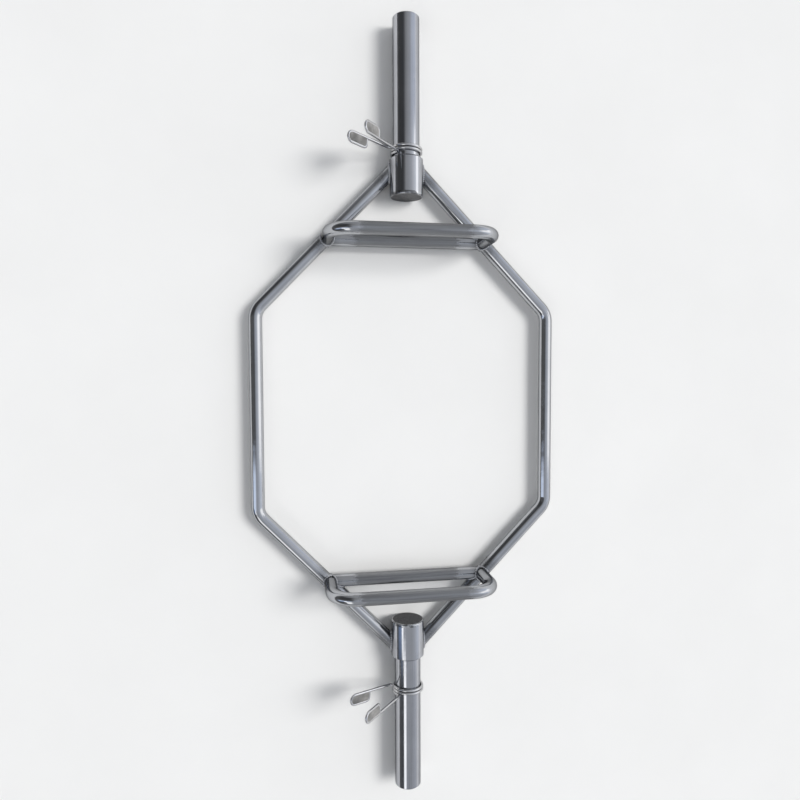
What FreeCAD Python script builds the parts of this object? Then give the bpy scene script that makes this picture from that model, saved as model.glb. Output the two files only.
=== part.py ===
"""Hex trap bar: a hexagonal lifting frame with two loading sleeves, four grips and two spring clips."""
import FreeCAD, Part
from collections import namedtuple
import math
import os

Vector = FreeCAD.Vector

# The bar lies flat in millimetres: +Y runs along the sleeves, +Z is up, and the origin is on the
# floor under the middle of the hexagon.

# Loading sleeves
overall_length = 1466.0
sleeve_diameter = 50.0
sleeve_wall = 7.0
sleeve_end_chamfer = 1.5
sleeve_insertion = 56.0
plug_thickness = 10.0

# Hubs that join the sleeves to the hexagon
hub_diameter = 63.0
hub_length = 71.0
hub_spacing = 808.0
hub_edge_round = 1.5
hub_cap_thickness = 6.0
hub_cap_round = 2.5

# Bent tubes of the hexagon: the setback runs from a hub's inner face to where their centre lines meet
tube_diameter = 25.0
tube_wall = 4.0
rail_spacing = 564.0
corner_span = 380.0
apex_setback = 78.0
bend_radius = 36.0
frame_drop = 10.0

# Grips
grip_diameter = 24.0
grip_spacing = 648.0
high_grip_width = 298.0
high_grip_rise = 108.0
high_grip_bend_radius = 45.0

# Welds
hub_weld_leg = 3.0
sleeve_weld_leg = 3.0
grip_weld_leg = 3.0

# Spring clips, wound from one round wire each: the moving lever's arm passes beside the sleeve's axis
# at its offset and leans along the sleeve
wire_diameter = 5.0
coil_turns = 2
coil_pitch = 5.6
coil_ease_angle = 60.0
lever_spread = 18.0
lever_bend_radius = 7.0
fixed_lever_reach = 143.0
moving_lever_reach = 123.0
moving_lever_offset = 18.0
moving_lever_lean = 6.0
loop_length = 42.0
loop_width = 18.0
loop_corner_radius = 6.0
pad_thickness = 4.0
front_clip_standoff = 7.5
rear_clip_standoff = 58.7
front_clip_angle = 38.5
rear_clip_angle = 41.0

# Clearances
weld_fit_clearance = 0.1
clip_clearance = 0.3
wire_joint_gap = 0.2
pad_clearance = 0.1

# Places worked out from the sizes above
sleeve_radius = sleeve_diameter / 2
hub_radius = hub_diameter / 2
tube_radius = tube_diameter / 2
grip_radius = grip_diameter / 2
wire_radius = wire_diameter / 2
sleeve_end_y = overall_length / 2
hub_inner_y = hub_spacing / 2
hub_outer_y = hub_inner_y + hub_length
sleeve_start_y = hub_outer_y - sleeve_insertion
axis_z = hub_radius
frame_z = axis_z - frame_drop
rail_x = rail_spacing / 2
corner_y = corner_span / 2
apex_y = hub_inner_y + apex_setback
grip_y = grip_spacing / 2
grip_end_x = rail_x * (apex_y - grip_y) / (apex_y - corner_y)
high_grip_z = frame_z + high_grip_rise
coil_radius = sleeve_radius + clip_clearance + wire_radius

ALONG = Vector(0, 1, 0)

# A clip's lever before it leans: its arm's angle round the sleeve, its place along the sleeve, the sense
# in which the coil's wire turns into it, its reach from the axis and its arm's offset from the axis
Lever = namedtuple("Lever", "angle y winding reach offset")


def cylinder_along(start, end, radius):
    """A round bar from one point to another."""
    run = end - start
    return Part.makeCylinder(radius, run.Length, start, run)


def rounded_path(points, radius):
    """A wire of straight runs through the points, with an arc of the given radius at each corner."""
    edges = []
    start = points[0]
    for before, corner, after in zip(points, points[1:], points[2:]):
        arrive = (corner - before).normalize()
        leave = (after - corner).normalize()
        turn = arrive.getAngle(leave)
        tangent = radius * math.tan(turn / 2)
        arc_start = corner - arrive * tangent
        arc_end = corner + leave * tangent
        inward = (leave - arrive).normalize()
        middle = corner + inward * (radius / math.cos(turn / 2) - radius)
        edges.append(Part.LineSegment(start, arc_start).toShape())
        edges.append(Part.Arc(arc_start, middle, arc_end).toShape())
        start = arc_end
    edges.append(Part.LineSegment(start, points[-1]).toShape())
    return Part.Wire(edges)


def round_section(path, radius):
    """A circle square to the start of a path."""
    first = path.OrderedEdges[0]
    place = first.valueAt(first.FirstParameter)
    heading = first.tangentAt(first.FirstParameter)
    return Part.Wire(Part.Circle(place, heading, radius).toShape())


def swept_bar(path, radius):
    """A solid round bar along a path."""
    return path.makePipeShell([round_section(path, radius)], True, False)


def revolved(outline, start_y, direction):
    """A ring turned about the sleeve axis from (radius, distance) points measured from start_y."""
    corners = [Vector(radius, start_y + direction * along, axis_z) for radius, along in outline]
    face = Part.Face(Part.makePolygon(corners + corners[:1]))
    return face.revolve(Vector(0, 0, axis_z), ALONG, 360)


def one_solid(shape):
    """The only solid of a cut shape, so that each piece is exported as a plain solid."""
    return shape.Solids[0] if len(shape.Solids) == 1 else Part.Compound(shape.Solids)


def hub_round(direction, radius):
    """The full round of a hub, run on past the point where the tubes' centre lines meet, for coping."""
    inner = Vector(0, direction * hub_inner_y, axis_z)
    past_apex = Vector(0, direction * (max(apex_y, hub_outer_y) + tube_diameter), axis_z)
    return cylinder_along(inner, past_apex, radius)


def tube_path(side):
    """The centre line of one bent tube, from the front apex round to the rear apex."""
    points = [
        Vector(0, apex_y, frame_z),
        Vector(side * rail_x, corner_y, frame_z),
        Vector(side * rail_x, -corner_y, frame_z),
        Vector(0, -apex_y, frame_z),
    ]
    return rounded_path(points, bend_radius)


def diagonal_run(side, direction, radius):
    """The straight diagonal of a tube as a plain bar, from the apex to the bend."""
    apex = Vector(0, direction * apex_y, frame_z)
    corner = Vector(side * rail_x, direction * corner_y, frame_z)
    return cylinder_along(apex, corner, radius)


def frame_tube(side):
    """One bent tube of the hexagon, coped to both hubs."""
    path = tube_path(side)
    tube = swept_bar(path, tube_radius).cut(swept_bar(path, tube_radius - tube_wall))
    return one_solid(tube.cut(hub_round(1, hub_radius)).cut(hub_round(-1, hub_radius)))


def hub(direction):
    """The short thick tube that takes the sleeve and both frame tubes."""
    length = hub_length - hub_cap_thickness
    bore = sleeve_radius + weld_fit_clearance
    outline = [
        (bore, 0),
        (hub_radius, 0),
        (hub_radius, length - hub_edge_round),
        (hub_radius - hub_edge_round, length),
        (bore, length),
    ]
    return revolved(outline, direction * (hub_inner_y + hub_cap_thickness), direction)


def hub_cap(direction):
    """The disc that closes the inner end of a hub, with a rounded rim."""
    inner = Vector(0, direction * hub_inner_y, axis_z)
    outer = Vector(0, direction * (hub_inner_y + hub_cap_thickness), axis_z)
    disc = cylinder_along(inner, outer, hub_radius)
    rim = [edge for edge in disc.Edges
           if abs(edge.CenterOfMass.y - inner.y) < hub_cap_round / 2
           and isinstance(edge.Curve, Part.Circle)]
    return one_solid(disc.makeFillet(hub_cap_round, rim))


def sleeve(direction):
    """The thick loading tube, seated in its hub and chamfered at its free end."""
    length = sleeve_end_y - sleeve_start_y
    bore = sleeve_radius - sleeve_wall
    outline = [
        (bore, 0),
        (sleeve_radius, 0),
        (sleeve_radius, length - sleeve_end_chamfer),
        (sleeve_radius - sleeve_end_chamfer, length),
        (bore, length),
    ]
    return revolved(outline, direction * sleeve_start_y, direction)


def sleeve_plug(direction):
    """The disc that closes the free end of a sleeve, flush with the rim."""
    inner = Vector(0, direction * (sleeve_end_y - plug_thickness), axis_z)
    outer = Vector(0, direction * sleeve_end_y, axis_z)
    return cylinder_along(inner, outer, sleeve_radius - sleeve_wall - weld_fit_clearance)


def sleeve_weld(direction):
    """The fillet weld that runs round the sleeve where it leaves the hub."""
    outline = [(sleeve_radius, 0), (sleeve_radius + sleeve_weld_leg, 0), (sleeve_radius, sleeve_weld_leg)]
    return revolved(outline, direction * hub_outer_y, direction)


def low_grip_bar(direction, radius):
    """The straight low grip before its ends are coped."""
    left = Vector(-grip_end_x, direction * grip_y, frame_z)
    right = Vector(grip_end_x, direction * grip_y, frame_z)
    return cylinder_along(left, right, radius)


def both_diagonals(direction, radius):
    """The two diagonals that carry the grips at one end of the bar."""
    return diagonal_run(-1, direction, radius).fuse(diagonal_run(1, direction, radius))


def low_grip(direction):
    """The straight low grip, coped to the two diagonals."""
    return one_solid(low_grip_bar(direction, grip_radius).cut(both_diagonals(direction, tube_radius)))


def high_grip_bar(direction, radius):
    """The raised grip with its two bent legs, before the legs are coped."""
    leg_x = high_grip_width / 2
    y = direction * grip_y
    points = [
        Vector(-leg_x, y, frame_z),
        Vector(-leg_x, y, high_grip_z),
        Vector(leg_x, y, high_grip_z),
        Vector(leg_x, y, frame_z),
    ]
    return swept_bar(rounded_path(points, high_grip_bend_radius), radius)


def high_grip(direction):
    """The raised grip, its legs seated on the diagonals and on the low grip's ends."""
    bar = high_grip_bar(direction, grip_radius).cut(both_diagonals(direction, tube_radius))
    bar = bar.cut(low_grip_bar(direction, grip_radius + weld_fit_clearance))
    return max(bar.Solids, key=lambda solid: solid.Volume)


def hub_welds(direction):
    """The two beads where the frame tubes meet a hub."""
    reach = hub_round(direction, hub_radius + hub_weld_leg).cut(hub_round(direction, hub_radius))
    beads = []
    for side in (-1, 1):
        bead = diagonal_run(side, direction, tube_radius + hub_weld_leg).common(reach)
        bead = bead.cut(diagonal_run(side, direction, tube_radius))
        beads += bead.Solids
    return Part.Compound(beads)


def grip_welds(direction):
    """The beads that fix both grips of one end to the diagonals."""
    bars = low_grip_bar(direction, grip_radius + grip_weld_leg)
    bars = bars.fuse(high_grip_bar(direction, grip_radius + grip_weld_leg))
    diagonals = both_diagonals(direction, tube_radius)
    beads = bars.common(both_diagonals(direction, tube_radius + grip_weld_leg)).cut(diagonals)
    beads = beads.cut(low_grip_bar(direction, grip_radius)).cut(high_grip_bar(direction, grip_radius))
    return Part.Compound(beads.Solids)


def clip_point(angle, radius, y):
    """A point round the sleeve: the angle runs from straight up towards the left side."""
    turn = math.radians(angle)
    return Vector(-radius * math.sin(turn), y, axis_z + radius * math.cos(turn))


def clip_heading(angle, climb):
    """The wire's heading at an angle round the sleeve, for a climb in millimetres per degree."""
    turn = math.radians(angle)
    heading = Vector(-math.cos(turn), climb / math.radians(coil_radius), -math.sin(turn))
    return heading.normalize()


def bend_offset(arm_offset):
    """The angle between a lever's arm and the point where its bend leaves the coil."""
    return math.degrees(math.asin((lever_bend_radius - arm_offset) / (coil_radius + lever_bend_radius)))


coil_sweep = 360 * coil_turns + lever_spread - bend_offset(0) - bend_offset(moving_lever_offset)
coil_climb = coil_pitch / (360 - coil_ease_angle / 2)
coil_rise = coil_climb * (coil_sweep - coil_ease_angle)


def coil_state(travel):
    """How far the coil has climbed, and its climb per degree, after a travel in degrees.

    The climb starts and ends level, so that the levers leave the coil square to the sleeve.
    """
    left = coil_sweep - travel
    if travel < coil_ease_angle:
        return coil_climb * travel ** 2 / (2 * coil_ease_angle), coil_climb * travel / coil_ease_angle
    if left < coil_ease_angle:
        short = coil_climb * left ** 2 / (2 * coil_ease_angle)
        return coil_rise - short, coil_climb * left / coil_ease_angle
    return coil_climb * (travel - coil_ease_angle / 2), coil_climb


def tangent_arc(start, corner, end):
    """The arc between two points whose end tangents meet at the corner, at equal distances."""
    middle = (start + end) * 0.5
    half_chord = (end - start).Length / 2
    half_turn = math.acos(half_chord / (corner - start).Length)
    sagitta = half_chord * math.tan(half_turn / 2)
    return Part.Arc(start, middle + (corner - middle).normalize() * sagitta, end).toShape()


def biarc(start, start_heading, end, end_heading):
    """Two arcs that join two points smoothly along the given headings."""
    chord = end - start
    both = start_heading + end_heading
    square = 2 * start_heading.dot(end_heading) - 2
    linear = chord.dot(both)
    reach = (linear - math.sqrt(linear ** 2 - square * chord.dot(chord))) / square
    first_corner = start + start_heading * reach
    second_corner = end - end_heading * reach
    join = (first_corner + second_corner) * 0.5
    return [tangent_arc(start, first_corner, join), tangent_arc(join, second_corner, end)]


def coil_path(lever_angle, start_y):
    """The wound wire's centre line, from the fixed lever's bend to the moving lever's bend."""
    gap_angle = math.degrees(wire_joint_gap / coil_radius)
    quarters = 4 * coil_turns - 1
    quarter = (coil_sweep - 2 * coil_ease_angle) / quarters
    stops = [gap_angle] + [coil_ease_angle + quarter * count for count in range(quarters + 1)]
    stops.append(coil_sweep - gap_angle)
    edges = []
    for travel, next_travel in zip(stops, stops[1:]):
        ends = []
        for stop in (travel, next_travel):
            angle = lever_angle + bend_offset(0) + stop
            climb, rate = coil_state(stop)
            ends += [clip_point(angle, coil_radius, start_y + climb), clip_heading(angle, rate)]
        edges += biarc(*ends)
    return Part.Wire(edges)


def least_coil_gap(path):
    """The smallest clear distance between neighbouring turns of the wire, measured on points."""
    points = path.discretize(Number=72 * coil_turns)
    half_turn = len(points) // (2 * coil_turns)
    least = min((far - near).Length for index, near in enumerate(points) for far in points[index + half_turn:])
    return least - wire_diameter


def lever_point(lever, along, aside):
    """A point of a lever: along its arm from the axis, and aside from the arm towards its hand loop."""
    beside_axis = clip_heading(lever.angle, 0) * (lever.winding * lever.offset)
    return clip_point(lever.angle, along, lever.y - lever.winding * aside) + beside_axis


def lever_root_angle(lever):
    """Where round the sleeve a lever's bend leaves the coil."""
    return lever.angle - lever.winding * bend_offset(lever.offset)


def loop_corners(lever):
    """The places along a lever's hand loop in the wire's order, and the arm's foot that closes it."""
    half_width = loop_width / 2
    inner = lever.reach - loop_length
    corner_middle = loop_corner_radius * (1 - math.sqrt(0.5))
    return {
        "arm_end": lever_point(lever, lever.reach - half_width, 0),
        "tip": lever_point(lever, lever.reach, half_width),
        "far_end": lever_point(lever, lever.reach - half_width, loop_width),
        "corner_start": lever_point(lever, inner + loop_corner_radius, loop_width),
        "corner_middle": lever_point(lever, inner + corner_middle, loop_width - corner_middle),
        "corner_end": lever_point(lever, inner, loop_width - loop_corner_radius),
        "closing_end": lever_point(lever, inner, wire_radius + wire_joint_gap),
        "arm_foot": lever_point(lever, inner, 0),
    }


def lever_path(lever):
    """A lever's centre line: out of the coil, up the arm and round the hand loop."""
    root_angle = lever_root_angle(lever)
    centre_radius = coil_radius + lever_bend_radius
    root = clip_point(root_angle, coil_radius, lever.y)
    bend_centre = clip_point(root_angle, centre_radius, lever.y)
    arm_start = lever_point(lever, centre_radius * math.cos(math.radians(bend_offset(lever.offset))), 0)
    outward = ((root - bend_centre).normalize() + (arm_start - bend_centre).normalize()).normalize()
    loop = loop_corners(lever)
    return Part.Wire([
        Part.Arc(root, bend_centre + outward * lever_bend_radius, arm_start).toShape(),
        Part.LineSegment(arm_start, loop["arm_end"]).toShape(),
        Part.Arc(loop["arm_end"], loop["tip"], loop["far_end"]).toShape(),
        Part.LineSegment(loop["far_end"], loop["corner_start"]).toShape(),
        Part.Arc(loop["corner_start"], loop["corner_middle"], loop["corner_end"]).toShape(),
        Part.LineSegment(loop["corner_end"], loop["closing_end"]).toShape(),
    ])


def lever_pad(lever):
    """The soft web that fills a hand loop, its edge hollowed to seat against the wire."""
    loop = loop_corners(lever)
    outline = Part.Wire([
        Part.LineSegment(loop["arm_foot"], loop["arm_end"]).toShape(),
        Part.Arc(loop["arm_end"], loop["tip"], loop["far_end"]).toShape(),
        Part.LineSegment(loop["far_end"], loop["corner_start"]).toShape(),
        Part.Arc(loop["corner_start"], loop["corner_middle"], loop["corner_end"]).toShape(),
        Part.LineSegment(loop["corner_end"], loop["arm_foot"]).toShape(),
    ])
    across = clip_heading(lever.angle, 0)
    web = Part.Face(outline).extrude(across * pad_thickness)
    web.translate(across * (-pad_thickness / 2))
    seat_radius = wire_radius + pad_clearance
    web = web.cut(swept_bar(lever_path(lever), seat_radius))
    web = web.cut(cylinder_along(loop["arm_foot"], loop["corner_end"], seat_radius))
    return max(web.Solids, key=lambda solid: solid.Volume)


def leaned(shape, lever, lean):
    """A lever's piece turned about the wire's heading at the lever's root, so that it leans along +Y."""
    root_angle = lever_root_angle(lever)
    return shape.rotated(clip_point(root_angle, coil_radius, lever.y), clip_heading(root_angle, 0), lean)


def spring_clip(end, lever_angle, start_y):
    """The pieces of one spring clip: the coil, its two levers and their soft webs."""
    coil = coil_path(lever_angle, start_y)
    print(f"{end} coil: least gap between turns {least_coil_gap(coil):.2f} mm")
    fixed = Lever(lever_angle, start_y, -1, fixed_lever_reach, 0)
    moving = Lever(lever_angle + lever_spread, start_y + coil_rise, 1, moving_lever_reach, moving_lever_offset)
    moving_arm = swept_bar(lever_path(moving), wire_radius)
    return {
        f"{end}_clip_coil": swept_bar(coil, wire_radius),
        f"{end}_clip_fixed_arm": swept_bar(lever_path(fixed), wire_radius),
        f"{end}_clip_lever_arm": leaned(moving_arm, moving, moving_lever_lean),
        f"{end}_clip_fixed_pad": lever_pad(fixed),
        f"{end}_clip_lever_pad": leaned(lever_pad(moving), moving, moving_lever_lean),
    }


def bar_pieces():
    """Every piece of the bar under its own name."""
    pieces = {"left_frame_tube": frame_tube(-1), "right_frame_tube": frame_tube(1)}
    for end, direction in (("front", 1), ("rear", -1)):
        pieces[f"{end}_hub"] = hub(direction)
        pieces[f"{end}_hub_cap"] = hub_cap(direction)
        pieces[f"{end}_sleeve"] = sleeve(direction)
        pieces[f"{end}_sleeve_plug"] = sleeve_plug(direction)
        pieces[f"{end}_low_grip"] = low_grip(direction)
        pieces[f"{end}_high_grip"] = high_grip(direction)
        pieces[f"{end}_hub_welds"] = hub_welds(direction)
        pieces[f"{end}_sleeve_weld"] = sleeve_weld(direction)
        pieces[f"{end}_grip_welds"] = grip_welds(direction)
    pieces.update(spring_clip("front", front_clip_angle, hub_outer_y + front_clip_standoff))
    pieces.update(spring_clip("rear", rear_clip_angle, -hub_outer_y - rear_clip_standoff - coil_rise))
    return pieces


if __name__ == "__main__":
    os.makedirs("parts", exist_ok=True)
    for name, shape in bar_pieces().items():
        shape.exportStep(f"parts/{name}.step")
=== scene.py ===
"""Looks of the hex trap bar: chrome, knurled grips, weld beads and spring clips on the CAD frame."""
import math

import bmesh
import bpy
import numpy as np
from mathutils import Matrix, Vector


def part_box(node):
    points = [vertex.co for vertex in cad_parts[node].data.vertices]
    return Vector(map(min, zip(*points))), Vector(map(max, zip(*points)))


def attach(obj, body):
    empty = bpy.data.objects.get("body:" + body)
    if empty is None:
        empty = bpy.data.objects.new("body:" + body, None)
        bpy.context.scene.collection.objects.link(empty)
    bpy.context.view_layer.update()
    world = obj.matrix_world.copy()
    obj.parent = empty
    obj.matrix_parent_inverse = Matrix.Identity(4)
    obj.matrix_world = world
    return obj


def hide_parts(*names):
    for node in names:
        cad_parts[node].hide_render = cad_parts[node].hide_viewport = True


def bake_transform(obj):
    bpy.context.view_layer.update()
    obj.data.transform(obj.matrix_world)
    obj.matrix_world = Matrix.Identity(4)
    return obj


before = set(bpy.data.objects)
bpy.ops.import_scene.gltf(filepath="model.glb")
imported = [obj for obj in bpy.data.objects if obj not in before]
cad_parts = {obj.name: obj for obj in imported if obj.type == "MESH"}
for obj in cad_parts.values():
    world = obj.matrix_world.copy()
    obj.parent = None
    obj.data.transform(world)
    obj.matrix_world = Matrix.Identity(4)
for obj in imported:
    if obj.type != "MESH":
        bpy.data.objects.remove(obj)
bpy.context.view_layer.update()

# Sizes are in metres, and what the CAD frame fixes is read from it. +Y is the front, and the rear
# end of the bar mirrors the front one, apart from its clip.
hub_low, hub_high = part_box("front_hub")
HUB_RADIUS = (hub_high.x - hub_low.x) / 2
HUB_OUTER_Y = hub_high.y
AXIS_Z = (hub_low.z + hub_high.z) / 2
sleeve_low, sleeve_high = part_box("front_sleeve")
SLEEVE_RADIUS = (sleeve_high.x - sleeve_low.x) / 2
tube_low, tube_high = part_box("right_frame_tube")
TUBE_RADIUS = (tube_high.z - tube_low.z) / 2
FRAME_Z = (tube_high.z + tube_low.z) / 2
RAIL_X = tube_high.x - TUBE_RADIUS
grip_low, grip_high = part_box("front_low_grip")
GRIP_RADIUS = (grip_high.z - grip_low.z) / 2
GRIP_Y = (grip_low.y + grip_high.y) / 2
high_grip_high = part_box("front_high_grip")[1]
HIGH_GRIP_Z = high_grip_high.z - GRIP_RADIUS
LEG_X = high_grip_high.x - GRIP_RADIUS
HIGH_GRIP_BEND = 0.045

# Diagonals of the hexagon in plan: where their centre lines meet each other, the rails and the hubs
APEX_Y = 0.482
CORNER_Y = 0.190
HUB_JOINT_Y = 0.452
DIAGONAL_RUN = Vector((RAIL_X, CORNER_Y - APEX_Y)).normalized()
DIAGONAL_SIDE = Vector((-DIAGONAL_RUN.y, DIAGONAL_RUN.x))

# Knurl of the grips
KNURL_REACH = 0.102
KNURL_DEPTH = 0.0003
KNURL_COUNT = 54
KNURL_ANGLE = math.radians(30)
KNURL_STEPS = 4
KNURL_LEAD = 2 * math.pi * GRIP_RADIUS / KNURL_COUNT / math.tan(KNURL_ANGLE)

# Grip ends: how far they sink into what carries them, and how high above the tube a leg's foot starts
GRIP_SINK = 0.0006
FOOT_RISE = 0.006
GRIP_SIDES = KNURL_COUNT * KNURL_STEPS
END_RINGS = 9
SHOULDER_RINGS = 4
BEND_RINGS = 25
LEG_RINGS = 9

# Weld beads. A ripple's depth is a share of its bead's radius.
HUB_BEAD_RADIUS = 0.0031
HUB_RIPPLE_DEPTH = 0.36
SLEEVE_BEAD_RADIUS = 0.0020
SLEEVE_RIPPLE_DEPTH = 0.05
GRIP_BEAD_RADIUS = 0.0024
GRIP_RIPPLE_DEPTH = 0.26
BEAD_LIFT = 0.0005
BEAD_SIDES = 14
SEAM_POINTS = 240
RIPPLE_LENGTH = 0.0034
RIPPLE_STEPS = 6
RIPPLE_SPREAD = 0.10
RIPPLE_ROUNDING = 0.6
LEAST_RIPPLES = 3

# Spring clips
WIRE_RADIUS = 0.0025
WIRE_SIDES = 24
COIL_TURNS = 2
COIL_EASE = math.radians(60)
COIL_POINTS = 181
LEVER_SPREAD = math.radians(18)
LEVER_BEND = 0.007
FIXED_REACH = 0.143
MOVING_REACH = 0.123
MOVING_OFFSET = 0.018
MOVING_LEAN = math.radians(6)
LOOP_LENGTH = 0.042
LOOP_WIDTH = 0.018
LOOP_CORNER = 0.006
CLIP_ANGLE = {"front": math.radians(38.5), "rear": math.radians(41)}

# Points along each stretch of a lever's wire
ROOT_POINTS = 15
ARM_POINTS = 13
TIP_POINTS = 25
SIDE_POINTS = 8
CORNER_POINTS = 9
INNER_POINTS = 6

# Webs of the hand loops: half their thickness, and the share of the way to the rim where rings start
WEB_HALF_RIM = 0.0020
WEB_HALF_MIDDLE = 0.0023
WEB_START = 0.03
WEB_RINGS = 12
WEB_ARM_POINTS = 14

ENDS = {"front": 1, "rear": -1}


# Meshes

def grid_piece(name, grids, material):
    """One mesh piece from (points, closed) grids of rings, each joined round or capped at its ends."""
    build = bmesh.new()
    for points, closed in grids:
        sides = points.shape[1]
        rows = [[build.verts.new(point) for point in ring] for ring in points]
        for near, far in zip(rows, rows[1:] + rows[:1] if closed else rows[1:]):
            for side in range(sides):
                after = (side + 1) % sides
                build.faces.new((near[side], near[after], far[after], far[side]))
        if not closed:
            build.faces.new(rows[0])
            build.faces.new(rows[-1])
    bmesh.ops.recalc_face_normals(build, faces=build.faces)
    mesh = bpy.data.meshes.new(name)
    build.to_mesh(mesh)
    build.free()
    mesh.shade_smooth()
    mesh.materials.append(material)
    piece = bpy.data.objects.new(name, mesh)
    bpy.context.scene.collection.objects.link(piece)
    return piece


def circle(sides):
    """Evenly spaced angles once round."""
    return np.arange(sides) * (2 * math.pi / sides)


def unit(vectors):
    """Vectors of length one along the last axis."""
    return vectors / np.linalg.norm(vectors, axis=-1, keepdims=True)


def rings_along(points, heading, normal, radii, sides):
    """Round rings across a line of points, each starting on the side of its normal."""
    across = np.cross(heading, normal)
    turn = circle(sides)
    radii = np.broadcast_to(np.asarray(radii, float).reshape(-1, 1), (len(points), sides))
    around = np.cos(turn)[None, :, None] * normal[:, None] + np.sin(turn)[None, :, None] * across[:, None]
    return points[:, None] + around * radii[..., None]


def wire_rings(line):
    """Rings of a wire along a line that starts across the sleeve, carried along without twist."""
    points = np.asarray(line, float)
    heading = unit(np.gradient(points, axis=0))
    normal = np.zeros_like(points)
    carried = np.array((0.0, 1.0, 0.0))
    for index, direction in enumerate(heading):
        carried = carried - direction * (carried @ direction)
        carried = carried / np.linalg.norm(carried)
        normal[index] = carried
    return rings_along(points, heading, normal, WIRE_RADIUS, WIRE_SIDES)


def mirrored(points, side, direction):
    """Points of the front right corner, carried to a side and an end of the bar."""
    return np.asarray(points, float) * np.array((side, direction, 1.0))


# Node trees

# A colour mix node has sockets of the same names for other kinds of values, so these are told by number
MIX_FACTOR = 0
MIX_COLOURS = (6, 7)
MIX_RESULT = 2


def add(tree, kind, inputs=None, **settings):
    """A new node with its settings and inputs. An input is a plain value or another node's output."""
    made = tree.nodes.new(kind)
    for key, value in settings.items():
        setattr(made, key, value)
    for key, value in (inputs or {}).items():
        if isinstance(value, bpy.types.NodeSocket):
            tree.links.new(value, made.inputs[key])
        else:
            made.inputs[key].default_value = value
    return made


def ramp(tree, factor, stops):
    """A colour ramp with (place, colour) stops."""
    made = add(tree, "ShaderNodeValToRGB", {"Fac": factor})
    elements = made.color_ramp.elements
    while len(elements) < len(stops):
        elements.new(0.5)
    for element, (place, colour) in zip(elements, stops):
        element.position = place
        element.color = (*colour, 1.0)
    return made.outputs["Color"]


def noise(tree, place, scale=1.0, detail=2.0, roughness=0.5):
    """The grey value of a noise texture."""
    inputs = {"Vector": place, "Scale": scale, "Detail": detail, "Roughness": roughness}
    return add(tree, "ShaderNodeTexNoise", inputs).outputs["Fac"]


def stretched(tree, place, scale):
    """Coordinates scaled by a different amount along each axis."""
    return add(tree, "ShaderNodeMapping", {"Vector": place, "Scale": scale}).outputs["Vector"]


def remap(tree, value, given, wanted=(0.0, 1.0)):
    """A value mapped smoothly from one (low, high) range to another."""
    inputs = {"Value": value, "From Min": given[0], "From Max": given[1]}
    inputs.update({"To Min": wanted[0], "To Max": wanted[1]})
    return add(tree, "ShaderNodeMapRange", inputs, interpolation_type="SMOOTHSTEP").outputs["Result"]


def maths(tree, operation, *values):
    """One arithmetic step on one or two values."""
    return add(tree, "ShaderNodeMath", dict(enumerate(values)), operation=operation).outputs["Value"]


def span(tree, first, second):
    """The distance between two places."""
    return add(tree, "ShaderNodeVectorMath", {0: first, 1: second}, operation="DISTANCE").outputs["Value"]


def colour_mix(tree, factor, first, second):
    """A colour between two sockets or plain colours, by a factor socket."""
    made = tree.nodes.new("ShaderNodeMix")
    made.data_type = "RGBA"
    tree.links.new(factor, made.inputs[MIX_FACTOR])
    for index, value in zip(MIX_COLOURS, (first, second)):
        if isinstance(value, bpy.types.NodeSocket):
            tree.links.new(value, made.inputs[index])
        else:
            made.inputs[index].default_value = (*value, 1.0)
    return made.outputs[MIX_RESULT]


def bump(tree, height, distance, strength, normal=None):
    """Surface relief from a height value, over an earlier relief where one is given."""
    inputs = {"Height": height, "Distance": distance, "Strength": strength}
    if normal is not None:
        inputs["Normal"] = normal
    return add(tree, "ShaderNodeBump", inputs).outputs["Normal"]


def new_material(name):
    """A material, with what opened() gives."""
    material = bpy.data.materials.new(name)
    material.use_nodes = True
    add(material.node_tree, "ShaderNodeTexCoord", name="place")
    return material, *opened(material)


def opened(material):
    """A material's tree, its main shader and the place in the bar's own frame."""
    tree = material.node_tree
    return tree, tree.nodes["Principled BSDF"], tree.nodes["place"].outputs["Object"]


def lay_over(tree, shader, where, colour, roughening):
    """Lay a colour over a finish where a value is high, and change its roughness there."""
    base = shader.inputs["Base Color"]
    tree.links.new(colour_mix(tree, where, base.links[0].from_socket, colour), base)
    rough = shader.inputs["Roughness"]
    step = maths(tree, "MULTIPLY", where, roughening)
    tree.links.new(maths(tree, "ADD", rough.links[0].from_socket, step), rough)


# Finishes

# Welded joints in the front right corner, round which the plate is painted darker, as painted shade where
# the tubes meet, and made duller:
# the painted shade's full part as a share of its reach, its darkness and what it adds to the roughness
HUB_JOINT = (HUB_RADIUS, HUB_JOINT_Y, FRAME_Z)
GRIP_JOINT = (LEG_X, GRIP_Y, FRAME_Z)
JOINT_SHADE_CORE = 0.45
JOINT_SHADE_DARKNESS = 0.62
JOINT_ROUGHNESS = 0.16

# Fine lines and streaks, as noise scales along the axes
LONG_GRAIN = (900.0, 12.0, 900.0)
ROUND_GRAIN = (40.0, 1400.0, 40.0)
EVEN_GRAIN = (500.0, 500.0, 500.0)
SLEEVE_STREAKS = (420.0, 5.0, 420.0)
GRIP_STREAKS = (7.0, 260.0, 260.0)

# Where the painted highlight on a cap's rim starts and is full, and how raggedly the worn knurl gives way to
# polish
CAP_RIM = (HUB_RADIUS - 0.0030, HUB_RADIUS - 0.0018)
KNURL_RAGGEDNESS = 0.05
KNURL_EDGE = (KNURL_REACH + 0.016, KNURL_REACH + 0.026)


def near_joints(tree, place, joints, reach):
    """1 at the welded joints and 0 away from them. Joints are places in the front right corner."""
    folded = add(tree, "ShaderNodeVectorMath", {0: place}, operation="ABSOLUTE").outputs["Vector"]
    nearest = None
    for joint in joints:
        gap = span(tree, folded, joint)
        nearest = gap if nearest is None else maths(tree, "MINIMUM", nearest, gap)
    return remap(tree, nearest, (reach * JOINT_SHADE_CORE, reach), (1.0, 0.0))


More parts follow.
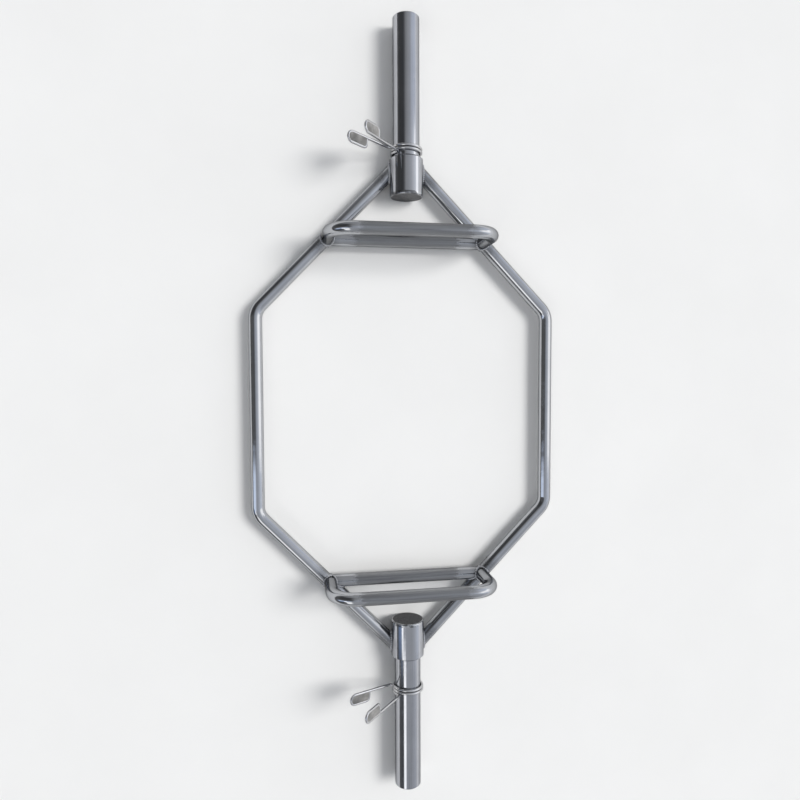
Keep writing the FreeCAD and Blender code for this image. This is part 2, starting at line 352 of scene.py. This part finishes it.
def chrome(name, bright, dim, polish, grain, joints=(), joint_reach=0.05, edge=0.38):
    """Chrome plate over worked steel: cloudy reflectance, smudges, fine grain, and painted shade with duller
    plate round the welded joints.

    polish is the roughness of the clean and of the smudged plate, grain stretches the fine
    polishing lines along the axes, and edge is the share of the mirror left at grazing angles.
    """
    material, tree, shader, place = new_material(name)
    cloud = noise(tree, place, scale=14.0, detail=4.0, roughness=0.6)
    smudge = noise(tree, place, scale=42.0, detail=6.0, roughness=0.65)
    lines = noise(tree, stretched(tree, place, grain))
    colour = ramp(tree, cloud, [(0.32, dim), (0.68, bright)])
    rough = remap(tree, smudge, (0.42, 0.74), polish)
    if joints:
        # Painted shade: the plate is darkened, and really dulled, round the welded joints where the tubes
        # meet
        joint_shade = near_joints(tree, place, joints, joint_reach)
        patchy_joint_shade = maths(tree, "MULTIPLY", joint_shade, remap(tree, smudge, (0.3, 0.6), (0.35, 1.0)))
        colour = colour_mix(tree, patchy_joint_shade, colour, tuple(JOINT_SHADE_DARKNESS * part for part in dim))
        rough = maths(tree, "ADD", rough, maths(tree, "MULTIPLY", patchy_joint_shade, JOINT_ROUGHNESS))
    tree.links.new(colour, shader.inputs["Base Color"])
    tree.links.new(rough, shader.inputs["Roughness"])
    shader.inputs["Metallic"].default_value = 1.0
    shader.inputs["Specular Tint"].default_value = (edge, edge, edge, 1.0)
    wave = bump(tree, noise(tree, place, scale=26.0), distance=0.0008, strength=0.10)
    relief = bump(tree, lines, distance=0.0002, strength=0.10, normal=wave)
    tree.links.new(relief, shader.inputs["Normal"])
    return material


def frame_finish(name):
    """Chrome of the bent frame tubes."""
    return chrome(name, bright=(0.52, 0.53, 0.55), dim=(0.46, 0.47, 0.49), polish=(0.07, 0.17),
                  grain=LONG_GRAIN, joints=(HUB_JOINT, GRIP_JOINT))


def hub_finish(name):
    """Chrome of the hubs, with lathe lines round them."""
    return chrome(name, bright=(0.52, 0.53, 0.56), dim=(0.47, 0.48, 0.51), polish=(0.07, 0.15),
                  grain=ROUND_GRAIN, joints=(HUB_JOINT,), joint_reach=0.04, edge=0.60)


def cap_finish(name):
    """Chrome of the hub caps and sleeve plugs, painted dark as a painted reflection of shaded floor. The
    caps' rims carry a painted highlight in broken patches.
    """
    # Painted shade: the plate is darkened to stand in for the shaded floor it would mirror
    material = chrome(name, bright=(0.085, 0.085, 0.09), dim=(0.06, 0.06, 0.065), polish=(0.26, 0.40),
                      grain=EVEN_GRAIN, edge=0.75)
    tree, shader, place = opened(material)
    from_axis = span(tree, stretched(tree, place, (1.0, 0.0, 1.0)), (0.0, 0.0, AXIS_Z))
    # Painted highlight: brighter, smoother chrome laid round the caps' rims, broken into patches
    highlight_patches = remap(tree, noise(tree, place, scale=90.0, detail=3.0), (0.40, 0.55), (0.25, 1.0))
    rim_highlight = maths(tree, "MULTIPLY", remap(tree, from_axis, CAP_RIM), highlight_patches)
    lay_over(tree, shader, rim_highlight, colour=(0.55, 0.56, 0.58), roughening=-0.18)
    return material


def sleeve_finish(name):
    """Sleeve chrome with faint streaks along it, where plates have been slid on and off."""
    material = chrome(name, bright=(0.53, 0.54, 0.57), dim=(0.47, 0.48, 0.51), polish=(0.07, 0.16),
                      grain=ROUND_GRAIN)
    tree, shader, place = opened(material)
    lines = noise(tree, stretched(tree, place, SLEEVE_STREAKS), detail=4.0, roughness=0.6)
    streak = remap(tree, lines, (0.50, 0.72), (0.0, 0.5))
    lay_over(tree, shader, streak, colour=(0.30, 0.31, 0.33), roughening=0.16)
    return material


def grip_finish(name):
    """Grip chrome: a worn, satin knurl with streaks along it in the middle, and polished ends."""
    material = chrome(name, bright=(0.52, 0.53, 0.55), dim=(0.46, 0.47, 0.49), polish=(0.08, 0.18),
                      grain=EVEN_GRAIN, joints=(GRIP_JOINT,), joint_reach=0.03)
    tree, shader, place = opened(material)
    along = add(tree, "ShaderNodeSeparateXYZ", {"Vector": place}).outputs["X"]
    streak = noise(tree, stretched(tree, place, GRIP_STREAKS), detail=4.0, roughness=0.6)
    ragged = maths(tree, "MULTIPLY", streak, KNURL_RAGGEDNESS)
    reach = maths(tree, "ADD", maths(tree, "ABSOLUTE", along), ragged)
    knurled = remap(tree, reach, KNURL_EDGE, (1.0, 0.0))
    satin = ramp(tree, streak, [(0.30, (0.25, 0.25, 0.26)), (0.70, (0.40, 0.41, 0.42))])
    lay_over(tree, shader, knurled, colour=satin, roughening=remap(tree, streak, (0.3, 0.7), (0.30, 0.20)))
    return material


def weld_finish(name):
    """Chrome over the uneven weld beads."""
    return chrome(name, bright=(0.54, 0.55, 0.57), dim=(0.40, 0.40, 0.42), polish=(0.14, 0.30),
                  grain=EVEN_GRAIN)


def wire_finish(name):
    """Bright plate on the clips' spring wire."""
    return chrome(name, bright=(0.70, 0.70, 0.71), dim=(0.60, 0.60, 0.61), polish=(0.10, 0.22),
                  grain=EVEN_GRAIN)


def web_finish(name):
    """Matt grey vinyl with a fine leathery grain and rubbed, paler patches."""
    material, tree, shader, place = new_material(name)
    patch = noise(tree, place, scale=70.0, detail=5.0, roughness=0.6)
    pores = noise(tree, place, scale=1400.0, detail=3.0)
    colour = ramp(tree, patch, [(0.35, (0.15, 0.146, 0.14)), (0.65, (0.27, 0.262, 0.25))])
    tree.links.new(colour, shader.inputs["Base Color"])
    tree.links.new(remap(tree, patch, (0.3, 0.7), (0.62, 0.42)), shader.inputs["Roughness"])
    tree.links.new(bump(tree, pores, distance=0.0003, strength=0.35), shader.inputs["Normal"])
    return material


def floor_finish(name):
    """A pale matt floor with faint clouds."""
    material, tree, shader, place = new_material(name)
    cloud = noise(tree, place, scale=3.0, detail=6.0, roughness=0.6)
    colour = ramp(tree, cloud, [(0.3, (0.875, 0.865, 0.84)), (0.7, (0.905, 0.895, 0.87))])
    tree.links.new(colour, shader.inputs["Base Color"])
    tree.links.new(remap(tree, cloud, (0.3, 0.7), (0.7, 0.85)), shader.inputs["Roughness"])
    shader.inputs["Specular IOR Level"].default_value = 0.2
    return material


FRAME_CHROME = frame_finish("frame_chrome")
HUB_CHROME = hub_finish("hub_chrome")
CAP_PAINTED_DARK_CHROME = cap_finish("cap_painted_dark_chrome")
SLEEVE_CHROME = sleeve_finish("sleeve_chrome")
GRIP_CHROME = grip_finish("grip_chrome")
WELD_CHROME = weld_finish("weld_chrome")
WIRE_CHROME = wire_finish("wire_chrome")
WEB_VINYL = web_finish("web_vinyl")


# Pieces that keep their CAD shape

CAD_FINISHES = {"left_frame_tube": FRAME_CHROME, "right_frame_tube": FRAME_CHROME}
for end in ENDS:
    CAD_FINISHES[f"{end}_hub"] = HUB_CHROME
    CAD_FINISHES[f"{end}_hub_cap"] = CAP_PAINTED_DARK_CHROME
    CAD_FINISHES[f"{end}_sleeve"] = SLEEVE_CHROME
    CAD_FINISHES[f"{end}_sleeve_plug"] = CAP_PAINTED_DARK_CHROME
for node_name, finish in CAD_FINISHES.items():
    for material_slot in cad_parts[node_name].material_slots:
        material_slot.material = finish


# Grips

def knurl_relief(along, turn):
    """Radius lost to the diamond knurl at places along a grip and turns round it."""
    count = turn * KNURL_COUNT / (2 * math.pi)
    first = (count + along / KNURL_LEAD) % 1.0
    second = (count - along / KNURL_LEAD) % 1.0
    height = np.minimum(1 - np.abs(2 * first - 1), 1 - np.abs(2 * second - 1))
    fade = np.clip((KNURL_REACH - np.abs(along)) / KNURL_LEAD, 0, 1)
    return KNURL_DEPTH * (1 - height) * fade


def knurl_rows():
    """Places along a grip that catch each diamond's points and valleys."""
    count = int(KNURL_REACH / KNURL_LEAD * KNURL_STEPS)
    return np.arange(-count, count + 1) * KNURL_LEAD / KNURL_STEPS


def diagonal_offset(x, y):
    """Distance in plan from the front right diagonal's centre line, outwards positive."""
    return x * DIAGONAL_SIDE.x + (y - APEX_Y) * DIAGONAL_SIDE.y


def low_grip_end(turn):
    """X where the low grip's surface meets the diagonal, for turns round the grip."""
    inner = -np.sqrt(TUBE_RADIUS ** 2 - (GRIP_RADIUS * np.sin(turn)) ** 2)
    reach = GRIP_Y + GRIP_RADIUS * np.cos(turn) - APEX_Y
    return (inner - reach * DIAGONAL_SIDE.y) / DIAGONAL_SIDE.x


def leg_seat(turn):
    """Height of what carries a high grip's leg, for turns round the leg."""
    x = LEG_X + GRIP_RADIUS * np.cos(turn)
    y = GRIP_Y + GRIP_RADIUS * np.sin(turn)
    on_diagonal = TUBE_RADIUS ** 2 - diagonal_offset(x, y) ** 2
    on_low_grip = GRIP_RADIUS ** 2 - (y - GRIP_Y) ** 2
    return FRAME_Z + np.sqrt(np.maximum(on_diagonal, on_low_grip))


def low_grip_points():
    """Rings of the low grip: a knurled middle, smooth ends, and ends coped to the diagonals."""
    turn = circle(GRIP_SIDES)
    middle = np.repeat(knurl_rows()[:, None], GRIP_SIDES, 1)
    coped = low_grip_end(turn) + GRIP_SINK
    shares = np.linspace(0, 1, END_RINGS)[1:, None]
    right = middle[-1:] * (1 - shares) + coped * shares
    along = np.concatenate([-right[::-1], middle, right])
    radius = GRIP_RADIUS - knurl_relief(along, turn[None])
    return np.stack([along, GRIP_Y + radius * np.cos(turn), FRAME_Z + radius * np.sin(turn)], axis=-1)


def high_grip_line():
    """The raised grip's right half from its middle, as (x, z, lean) places of its rings."""
    rows = knurl_rows()
    straight_end = LEG_X - HIGH_GRIP_BEND
    bend_z = HIGH_GRIP_Z - HIGH_GRIP_BEND
    line = [(x, HIGH_GRIP_Z, 0.0) for x in rows[rows >= 0]]
    line += [(x, HIGH_GRIP_Z, 0.0) for x in np.linspace(rows[-1], straight_end, SHOULDER_RINGS)[1:-1]]
    for lean in np.linspace(0, math.pi / 2, BEND_RINGS):
        x = straight_end + HIGH_GRIP_BEND * math.sin(lean)
        z = bend_z + HIGH_GRIP_BEND * math.cos(lean)
        line.append((x, z, lean))
    foot_z = FRAME_Z + TUBE_RADIUS + FOOT_RISE
    return line + [(LEG_X, z, math.pi / 2) for z in np.linspace(bend_z, foot_z, LEG_RINGS)[1:]]


def high_grip_points():
    """Rings of the raised grip: coped legs, bent shoulders and a knurled middle."""
    turn = circle(GRIP_SIDES)
    rings = []
    for x, z, lean in high_grip_line():
        radius = GRIP_RADIUS - (knurl_relief(x, turn) if lean == 0 else 0.0)
        y = GRIP_Y + radius * np.cos(turn)
        out = radius * np.sin(turn)
        rings.append(np.stack([x + out * math.sin(lean), y, z + out * math.cos(lean)], -1))
    foot = rings[-1].copy()
    foot[:, 2] = leg_seat(math.pi / 2 - turn) - GRIP_SINK
    right = np.array(rings + [foot])
    left = right[:0:-1] * np.array((-1.0, 1.0, 1.0))
    return np.concatenate([left, right])


def make_grips(end, direction):
    """Both grips of one end of the bar."""
    for level, points in (("low", low_grip_points()), ("high", high_grip_points())):
        rings = mirrored(points, 1, direction)
        grip = grid_piece(f"{end}_{level}_grip_knurled", [(rings, False)], GRIP_CHROME)
        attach(grip, "frame")
        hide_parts(f"{end}_{level}_grip")


# Weld beads

def bead_points(seam, outward, seed, radius, ripple_depth):
    """Rings of a bead laid along a closed seam in overlapping ripples."""
    draws = np.random.default_rng(seed)
    steps = np.linalg.norm(np.roll(seam, -1, 0) - seam, axis=1)
    length = steps.sum()
    ripples = max(LEAST_RIPPLES, round(length / RIPPLE_LENGTH))
    travel = np.concatenate([[0], np.cumsum(steps)])
    target = np.arange(ripples * RIPPLE_STEPS) * length / (ripples * RIPPLE_STEPS)
    closed_seam = np.vstack([seam, seam[:1]])
    closed_outward = np.vstack([outward, outward[:1]])
    points = np.stack([np.interp(target, travel, closed_seam[:, axis]) for axis in range(3)], -1)
    normals = unit(np.stack([np.interp(target, travel, closed_outward[:, axis]) for axis in range(3)], -1))
    phase = (target / length * ripples) % 1.0
    size = 1 + RIPPLE_SPREAD * draws.uniform(-1, 1, ripples)
    crest = np.abs(np.sin(math.pi * phase)) ** RIPPLE_ROUNDING
    which = (target / length * ripples).astype(int) % ripples
    radii = radius * (1 - ripple_depth + ripple_depth * crest * size[which])
    raised = points + normals * BEAD_LIFT
    heading = unit(np.roll(raised, -1, 0) - np.roll(raised, 1, 0))
    normals = unit(normals - heading * np.sum(normals * heading, axis=1, keepdims=True))
    return rings_along(raised, heading, normals, radii, BEAD_SIDES)


def hub_seam(turn):
    """Where the front right diagonal meets the hub, and the way out of that corner."""
    lift = FRAME_Z - AXIS_Z + TUBE_RADIUS * np.sin(turn)
    x = np.sqrt(HUB_RADIUS ** 2 - lift ** 2)
    run = (x - TUBE_RADIUS * np.cos(turn) * DIAGONAL_SIDE.x) / DIAGONAL_RUN.x
    y = APEX_Y + DIAGONAL_RUN.y * run + TUBE_RADIUS * np.cos(turn) * DIAGONAL_SIDE.y
    seam = np.stack([x, y, AXIS_Z + lift], -1)
    off_tube = np.stack([np.cos(turn) * DIAGONAL_SIDE.x, np.cos(turn) * DIAGONAL_SIDE.y, np.sin(turn)], -1)
    off_hub = np.stack([x, 0 * x, lift], -1) / HUB_RADIUS
    return seam, unit(off_tube + off_hub)


def off_diagonal(seam):
    """The diagonal's outward direction at points on it."""
    offset = diagonal_offset(seam[:, 0], seam[:, 1])
    return unit(np.stack([offset * DIAGONAL_SIDE.x, offset * DIAGONAL_SIDE.y, seam[:, 2] - FRAME_Z], -1))


def low_grip_seam(turn):
    """Where the low grip meets the front right diagonal, and the way out of that corner."""
    y = GRIP_Y + GRIP_RADIUS * np.cos(turn)
    seam = np.stack([low_grip_end(turn), y, FRAME_Z + GRIP_RADIUS * np.sin(turn)], -1)
    off_grip = np.stack([0 * turn, np.cos(turn), np.sin(turn)], -1)
    return seam, unit(off_grip + off_diagonal(seam))


def leg_seam(turn):
    """Where a high grip's leg stands on the front right diagonal and on the low grip, and the way out."""
    off_leg = np.stack([np.cos(turn), np.sin(turn), 0 * turn], -1)
    seam = np.array((LEG_X, GRIP_Y, 0.0)) + GRIP_RADIUS * off_leg
    seam[:, 2] = leg_seat(turn)
    return seam, unit(off_leg + np.array((0.0, 0.0, 1.0)))


def sleeve_seam(turn):
    """Where the sleeve leaves the hub, and the way out of that corner."""
    off_sleeve = np.stack([np.sin(turn), 0 * turn, np.cos(turn)], -1)
    seam = np.array((0.0, HUB_OUTER_Y, AXIS_Z)) + SLEEVE_RADIUS * off_sleeve
    return seam, unit(off_sleeve + np.array((0.0, 1.0, 0.0)))


# Beads of each weld node at one end: their seams and sides in order, radius and depth of ripple
WELDS = {
    "hub_welds": ([(hub_seam, -1), (hub_seam, 1)], HUB_BEAD_RADIUS, HUB_RIPPLE_DEPTH),
    "sleeve_weld": ([(sleeve_seam, 1)], SLEEVE_BEAD_RADIUS, SLEEVE_RIPPLE_DEPTH),
    "grip_welds": ([(low_grip_seam, -1), (low_grip_seam, 1), (leg_seam, -1), (leg_seam, 1)],
                   GRIP_BEAD_RADIUS, GRIP_RIPPLE_DEPTH),
}


def make_welds(end, direction):
    """The weld beads of one end: at the hub, round the sleeve and at the grips."""
    for seed, (node, (seams, radius, ripple_depth)) in enumerate(WELDS.items()):
        grids = []
        for count, (seam_of, side) in enumerate(seams):
            seam, outward = seam_of(circle(SEAM_POINTS))
            rings = bead_points(seam, outward, (seed, count, direction + 1), radius, ripple_depth)
            grids.append((mirrored(rings, side, direction), True))
        bead = grid_piece(f"{end}_{node}_beads", grids, WELD_CHROME)
        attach(bead, "frame")
        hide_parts(f"{end}_{node}")


# Spring clips

def clip_point(angle, radius, y):
    """A point round the sleeve: the angle runs from straight up towards the left side."""
    return np.array((-radius * math.sin(angle), y, AXIS_Z + radius * math.cos(angle)))


def tangent(angle):
    """The way round the sleeve at an angle, towards greater angles."""
    return np.array((-math.cos(angle), 0.0, -math.sin(angle)))


class Lever:
    """One lever of a clip: its arm, its hand loop and its lean along the sleeve."""

    def __init__(self, angle, y, winding, reach, offset, lean, coil_radius):
        self.angle = angle
        self.y = y
        self.winding = winding
        self.reach = reach
        self.offset = offset
        self.centre_radius = coil_radius + LEVER_BEND
        self.bend_offset = math.asin((LEVER_BEND - offset) / self.centre_radius)
        self.root_angle = angle - winding * self.bend_offset
        self.root = clip_point(self.root_angle, coil_radius, y)
        self.turn = np.array(Matrix.Rotation(lean, 3, Vector(tangent(self.root_angle))))
        self.inner = reach - LOOP_LENGTH
        self.tip_start = reach - LOOP_WIDTH / 2

    def leaned(self, point):
        """A point turned about the wire's heading at the lever's root."""
        return self.root + self.turn @ (point - self.root)

    def point(self, along, aside, over=0.0):
        """A point along the arm from the axis, aside towards the loop, and over the loop's plane."""
        beside = tangent(self.angle) * (self.winding * self.offset + over)
        return self.leaned(clip_point(self.angle, along, self.y - self.winding * aside) + beside)

    def line(self):
        """The wire's centre line: out of the coil, up the arm and round the hand loop to the arm again."""
        centre = self.leaned(clip_point(self.root_angle, self.centre_radius, self.y))
        arm_start = self.centre_radius * math.cos(self.bend_offset)
        from_root = self.root - centre
        to_arm = self.point(arm_start, 0) - centre
        turn = math.acos(from_root @ to_arm / LEVER_BEND ** 2)
        line = []
        for share in np.linspace(0, 1, ROOT_POINTS):
            between = from_root * math.sin((1 - share) * turn) + to_arm * math.sin(share * turn)
            line.append(centre + between / math.sin(turn))
        line += [self.point(along, 0) for along in np.linspace(arm_start, self.tip_start, ARM_POINTS)[1:]]
        return line + [self.point(along, aside) for along, aside in self.loop()]

    def loop(self):
        """The hand loop past the arm, as (along, aside) places in the wire's order."""
        half = LOOP_WIDTH / 2
        side_end = self.inner + LOOP_CORNER
        line = [(self.tip_start + half * math.sin(turn), half * (1 - math.cos(turn)))
                for turn in np.linspace(0, math.pi, TIP_POINTS)[1:]]
        line += [(along, LOOP_WIDTH) for along in np.linspace(self.tip_start, side_end, SIDE_POINTS)[1:]]
        for turn in np.linspace(0, math.pi / 2, CORNER_POINTS)[1:]:
            along = self.inner + LOOP_CORNER * (1 - math.sin(turn))
            line.append((along, LOOP_WIDTH - LOOP_CORNER * (1 - math.cos(turn))))
        inner_asides = np.linspace(LOOP_WIDTH - LOOP_CORNER, 0, INNER_POINTS)[1:]
        return line + [(self.inner, aside) for aside in inner_asides]

    def web(self):
        """Rings of the crowned web in the hand loop: down one face from its middle and up the other."""
        half = LOOP_WIDTH / 2
        arm = [(along, 0.0) for along in np.linspace(self.inner, self.tip_start, WEB_ARM_POINTS)[1:]]
        outline = np.array(arm + self.loop())
        spine_along = np.clip(outline[:, 0], self.inner + half, self.tip_start)
        spine = np.stack([spine_along, np.full(len(outline), half)], -1)
        shares = np.sin(np.linspace(WEB_START, 1, WEB_RINGS) * math.pi / 2)
        rings = []
        for face in (-1, 1):
            face_rings = []
            for share in shares:
                flat = spine + (outline - spine) * share
                thickness = WEB_HALF_MIDDLE + (WEB_HALF_RIM - WEB_HALF_MIDDLE) * share ** 2
                face_rings.append([self.point(along, aside, face * thickness) for along, aside in flat])
            rings += face_rings if face < 0 else face_rings[::-1]
        return np.array(rings)


class Clip:
    """One spring clip's places, worked out from its CAD coil."""

    def __init__(self, end):
        low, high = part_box(f"{end}_clip_coil")
        angle = CLIP_ANGLE[end]
        self.radius = (high.x - low.x) / 2 - WIRE_RADIUS
        self.start_y = low.y + WIRE_RADIUS
        self.end_y = high.y - WIRE_RADIUS
        self.fixed = Lever(angle, self.start_y, -1, FIXED_REACH, 0.0, 0.0, self.radius)
        self.moving = Lever(angle + LEVER_SPREAD, self.end_y, 1, MOVING_REACH, MOVING_OFFSET, MOVING_LEAN,
                            self.radius)
        self.sweep = 2 * math.pi * COIL_TURNS + self.moving.root_angle - self.fixed.root_angle

    def coil_y(self, travel):
        """The coil's place along the sleeve after a travel in radians. It starts and ends level."""
        slope = (self.end_y - self.start_y) / (self.sweep - COIL_EASE)
        left = self.sweep - travel
        if travel < COIL_EASE:
            climb = slope * travel ** 2 / (2 * COIL_EASE)
        elif left < COIL_EASE:
            climb = self.end_y - self.start_y - slope * left ** 2 / (2 * COIL_EASE)
        else:
            climb = slope * (travel - COIL_EASE / 2)
        return self.start_y + climb

    def coil_line(self):
        """The wound wire's centre line."""
        start = self.fixed.root_angle
        return [clip_point(start + travel, self.radius, self.coil_y(travel))
                for travel in np.linspace(0, self.sweep, COIL_POINTS)]


def make_clip(end):
    """One spring clip: the coil twists between its two levers, and each lever carries its web."""
    clip = Clip(end)
    base, lever = f"{end}_clip", f"{end}_clip_lever"
    coil = grid_piece(f"{end}_clip_coil_wire", [(wire_rings(clip.coil_line()), False)], WIRE_CHROME)
    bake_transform(coil)
    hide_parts(f"{end}_clip_coil")
    for shape, body, part in ((clip.fixed, base, "fixed"), (clip.moving, lever, "lever")):
        arm = grid_piece(f"{end}_clip_{part}_wire", [(wire_rings(shape.line()), False)], WIRE_CHROME)
        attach(arm, body)
        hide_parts(f"{end}_clip_{part}_arm")
        web = grid_piece(f"{end}_clip_{part}_web", [(shape.web(), False)], WEB_VINYL)
        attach(web, body)
        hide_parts(f"{end}_clip_{part}_pad")


for end, direction in ENDS.items():
    make_grips(end, direction)
    make_welds(end, direction)
    make_clip(end)


# Floor, light and camera

def grey(level, blue=0.0):
    """A grey with a little more blue."""
    return level * (1 - blue), level * (1 - blue / 3), level * (1 + blue)


FLOOR_HALF_WIDTH = 60.0

# The room as the chrome sees it, from the rear to the front. A part takes over from the one before
# between two values of a direction's Y, and its colours go by degrees from overhead, right positive.
ROOM = [
    (-1.0, -1.0, [
        (-90, grey(0.12)), (-54, grey(0.10, 0.04)), (-46, grey(0.16, 0.04)), (-42, grey(1.8)),
        (-26, grey(1.8)), (-20, grey(0.47, 0.05)), (20, grey(0.45, 0.05)), (54, grey(0.55, 0.06)),
        (64, grey(0.70, 0.06)), (72, grey(0.42, 0.05)), (90, grey(0.42, 0.03))]),
    (-0.44, -0.40, [
        (-90, grey(0.28, 0.34)), (-60, grey(0.44, 0.32)), (-52, grey(0.56, 0.26)), (-50, grey(2.0)),
        (-42, grey(2.0)), (-39, grey(0.52, 0.05)), (20, grey(0.46, 0.04)), (40, grey(0.58, 0.06)),
        (66, grey(0.84, 0.08)), (90, grey(0.84, 0.08))]),
    (-0.31, -0.26, [
        (-90, grey(0.20, 0.10)), (-80, grey(0.40, 0.16)), (-70, grey(1.25, 0.16)),
        (-32, grey(1.15, 0.14)), (-24, grey(0.60, 0.08)), (-10, grey(0.48, 0.06)),
        (20, grey(0.62, 0.09)), (50, grey(0.90, 0.09)), (90, grey(1.00, 0.06))]),
    (-0.165, -0.125, [
        (-90, grey(0.17)), (-70, grey(0.13)), (-20, grey(0.13, 0.04)), (-10, grey(0.42, 0.08)),
        (5, grey(0.58, 0.08)), (25, grey(0.72, 0.07)), (38, grey(1.20, 0.03)), (44, grey(1.60)),
        (84, grey(1.60)), (90, grey(1.30))]),
    (0.14, 0.22, [
        (-90, grey(0.12)), (-80, grey(0.07)), (-34, grey(0.06, 0.04)), (-24, grey(0.12, 0.03)),
        (-12, grey(0.38, 0.03)), (4, grey(0.44, 0.04)), (25, grey(0.56, 0.05)), (50, grey(0.90, 0.04)),
        (62, grey(1.20, 0.03)), (66, grey(2.00)), (90, grey(2.00))]),
    (0.33, 0.37, [
        (-90, grey(0.12)), (-80, grey(0.07)), (-34, grey(0.07, 0.04)), (-26, grey(0.12, 0.03)),
        (-13, grey(0.30, 0.03)), (6, grey(0.43, 0.03)), (25, grey(0.50, 0.05)), (40, grey(0.72, 0.09)),
        (80, grey(0.88, 0.10)), (90, grey(0.95, 0.08))]),
]

# The room is plain towards its ends, by a direction's Y, and at the horizon, by its Z. The horizon's
# colours go from left to right.
PLAIN_ENDS = (0.62, 0.92)
PLAIN_END_COLOUR = grey(0.42, 0.03)
HORIZON_TOP = (0.08, 0.38)
HORIZON = [(0.0, grey(0.13, 0.02)), (0.5, grey(0.45, 0.02)), (1.0, grey(1.0, 0.02))]

# A broad lamp, seen from the bar to the right and above
LAMP_WAY = (0.60, 0.18, 0.78)
LAMP_WIDTH = math.radians(24)
LAMP_STRENGTH = 1.9

# The camera's place, its lens in millimetres, and its turns in radians
CAMERA_PLACE = (-0.2110, 0.0839, 1.2212)
CAMERA_LENS = 28.425
SENSOR_WIDTH = 36.0
CAMERA_LEAN = 0.0516
CAMERA_SWAY = 0.1644
CAMERA_ROLL = 0.0119


def make_floor():
    """The pale floor that the bar lies on."""
    mesh = bpy.data.meshes.new("floor")
    signs = ((-1, -1), (1, -1), (1, 1), (-1, 1))
    corners = [(x * FLOOR_HALF_WIDTH, y * FLOOR_HALF_WIDTH, 0.0) for x, y in signs]
    mesh.from_pydata(corners, [], [(0, 1, 2, 3)])
    mesh.materials.append(floor_finish("floor_finish"))
    floor = bpy.data.objects.new("floor", mesh)
    bpy.context.scene.collection.objects.link(floor)


def make_world():
    """The room by direction: dark on the left and pale on the right, with bright strips at the rear left."""
    world = bpy.data.worlds.new("room")
    bpy.context.scene.world = world
    world.use_nodes = True
    tree = world.node_tree
    way = add(tree, "ShaderNodeTexCoord").outputs["Generated"]
    parts = add(tree, "ShaderNodeSeparateXYZ", {"Vector": way}).outputs
    lean = maths(tree, "ARCTAN2", parts["X"], parts["Z"])
    full_turn = {"Value": lean, "From Min": -math.pi, "From Max": math.pi}
    across = add(tree, "ShaderNodeMapRange", full_turn).outputs["Result"]
    sky = None
    for start, full, stops in ROOM:
        colours = ramp(tree, across, [((degrees / 180 + 1) / 2, colour) for degrees, colour in stops])
        if sky is None:
            sky = colours
        else:
            sky = colour_mix(tree, remap(tree, parts["Y"], (start, full)), sky, colours)
    along = maths(tree, "ABSOLUTE", parts["Y"])
    sky = colour_mix(tree, remap(tree, along, PLAIN_ENDS), sky, PLAIN_END_COLOUR)
    horizon = ramp(tree, remap(tree, parts["X"], (-1.0, 1.0)), HORIZON)
    sky = colour_mix(tree, remap(tree, parts["Z"], HORIZON_TOP, (1.0, 0.0)), sky, horizon)
    tree.links.new(sky, tree.nodes["Background"].inputs["Color"])


def make_lamp():
    """A broad even light from far away, which the chrome doesn't mirror."""
    lamp = bpy.data.lights.new("window", "SUN")
    lamp.angle = LAMP_WIDTH
    lamp.energy = LAMP_STRENGTH
    holder = bpy.data.objects.new("window", lamp)
    holder.rotation_euler = Vector(LAMP_WAY).to_track_quat("Z", "Y").to_euler()
    holder.visible_glossy = False
    bpy.context.scene.collection.objects.link(holder)


def make_camera():
    """The photograph's view: nearly straight down from above the left side, with front upwards."""
    data = bpy.data.cameras.new("camera")
    data.sensor_width = SENSOR_WIDTH
    data.lens = CAMERA_LENS
    camera = bpy.data.objects.new("camera", data)
    tilt = Matrix.Rotation(-CAMERA_LEAN, 4, "X") @ Matrix.Rotation(-CAMERA_SWAY, 4, "Y")
    turn = tilt @ Matrix.Rotation(-CAMERA_ROLL, 4, "Z")
    camera.matrix_world = Matrix.Translation(CAMERA_PLACE) @ turn
    bpy.context.scene.collection.objects.link(camera)
    bpy.context.scene.camera = camera


make_floor()
make_world()
make_lamp()
make_camera()
bpy.context.scene.view_settings.view_transform = "Standard"
